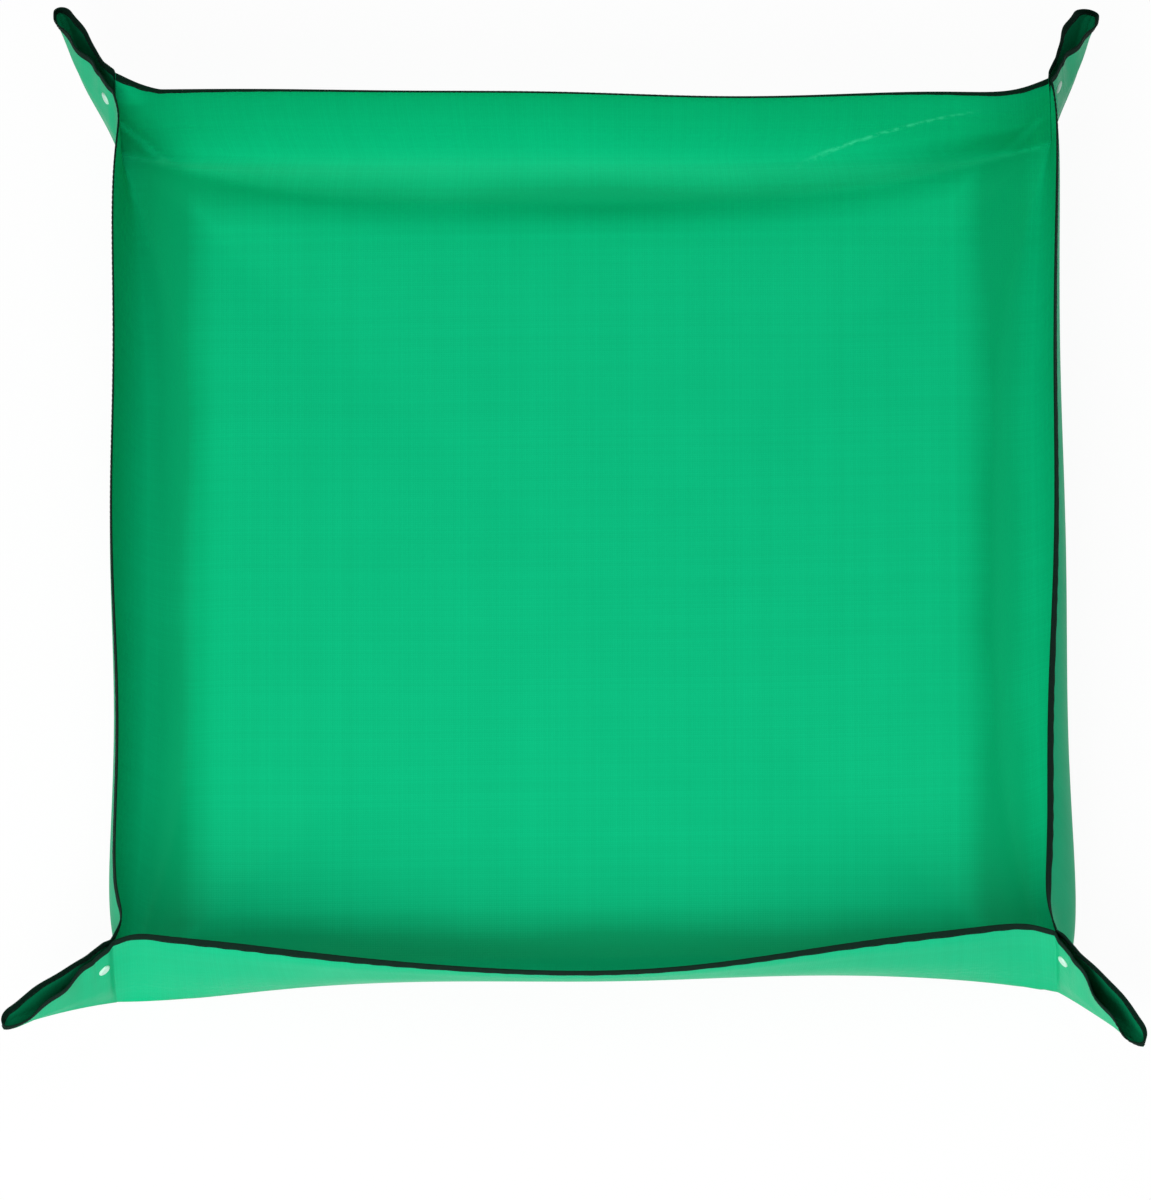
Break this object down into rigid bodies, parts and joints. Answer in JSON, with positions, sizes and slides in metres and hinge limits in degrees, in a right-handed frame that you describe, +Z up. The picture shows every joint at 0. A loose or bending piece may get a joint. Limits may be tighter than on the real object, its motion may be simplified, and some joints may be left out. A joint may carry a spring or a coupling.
{
  "type": "repotting mat",
  "caption": "Square waterproof cloth mat with a bound edge, its corners pinched by snap fasteners so that the sides stand up as a shallow tray for potting soil.",
  "frame": {"origin": "middle of the flat underside, where the mat rests on a table", "axes": "+Z up, +X to the right along the front wall, +Y towards the back wall"},
  "size_m": [0.9288, 0.9463, 0.1213],
  "materials": {
    "cloth": "coated woven cloth, satin",
    "binding": "dark woven tape",
    "snap": "pale moulded plastic"
  },
  "bodies": {
    "tray": {"mat_sheet": "cloth", "front_rim_binding": "binding", "right_rim_binding": "binding", "back_rim_binding": "binding", "left_rim_binding": "binding"},
    "front_left_ear": {"front_left_ear_socket_leaf": "cloth", "front_left_socket_leaf_binding": "binding", "front_left_socket": "snap", "front_left_socket_cap": "snap"},
    "front_left_stud_half": {"front_left_ear_stud_leaf": "cloth", "front_left_stud_leaf_binding": "binding", "front_left_stud": "snap", "front_left_stud_cap": "snap"},
    "front_right_ear": {"front_right_ear_socket_leaf": "cloth", "front_right_socket_leaf_binding": "binding", "front_right_socket": "snap", "front_right_socket_cap": "snap"},
    "front_right_stud_half": {"front_right_ear_stud_leaf": "cloth", "front_right_stud_leaf_binding": "binding", "front_right_stud": "snap", "front_right_stud_cap": "snap"},
    "back_right_ear": {"back_right_ear_socket_leaf": "cloth", "back_right_socket_leaf_binding": "binding", "back_right_socket": "snap", "back_right_socket_cap": "snap"},
    "back_right_stud_half": {"back_right_ear_stud_leaf": "cloth", "back_right_stud_leaf_binding": "binding", "back_right_stud": "snap", "back_right_stud_cap": "snap"},
    "back_left_ear": {"back_left_ear_socket_leaf": "cloth", "back_left_socket_leaf_binding": "binding", "back_left_socket": "snap", "back_left_socket_cap": "snap"},
    "back_left_stud_half": {"back_left_ear_stud_leaf": "cloth", "back_left_stud_leaf_binding": "binding", "back_left_stud": "snap", "back_left_stud_cap": "snap"}
  },
  "joints": [
    {"name": "front_left_ear_swing", "type": "hinge", "parent": "tray", "child": "front_left_ear", "pos_m": [-0.38, -0.38, 0], "axis": [0, 0, 1], "range_deg": [-35, 45]},
    {"name": "front_left_snap_release", "type": "slide", "parent": "front_left_ear", "child": "front_left_stud_half", "axis": [0.6428, -0.766, 0], "range_m": [0, 0.003]},
    {"name": "front_right_ear_swing", "type": "hinge", "parent": "tray", "child": "front_right_ear", "pos_m": [0.38, -0.38, 0], "axis": [0, 0, 1], "range_deg": [-35, 45]},
    {"name": "front_right_snap_release", "type": "slide", "parent": "front_right_ear", "child": "front_right_stud_half", "axis": [-0.766, -0.6428, 0], "range_m": [0, 0.003]},
    {"name": "back_right_ear_swing", "type": "hinge", "parent": "tray", "child": "back_right_ear", "pos_m": [0.38, 0.38, 0], "axis": [0, 0, 1], "range_deg": [-65, 15]},
    {"name": "back_right_snap_release", "type": "slide", "parent": "back_right_ear", "child": "back_right_stud_half", "axis": [0.9397, -0.342, 0], "range_m": [0, 0.003]},
    {"name": "back_left_ear_swing", "type": "hinge", "parent": "tray", "child": "back_left_ear", "pos_m": [-0.38, 0.38, 0], "axis": [0, 0, 1], "range_deg": [-22, 58]},
    {"name": "back_left_snap_release", "type": "slide", "parent": "back_left_ear", "child": "back_left_stud_half", "axis": [-0.891, -0.454, 0], "range_m": [0, 0.003]}
  ]
}
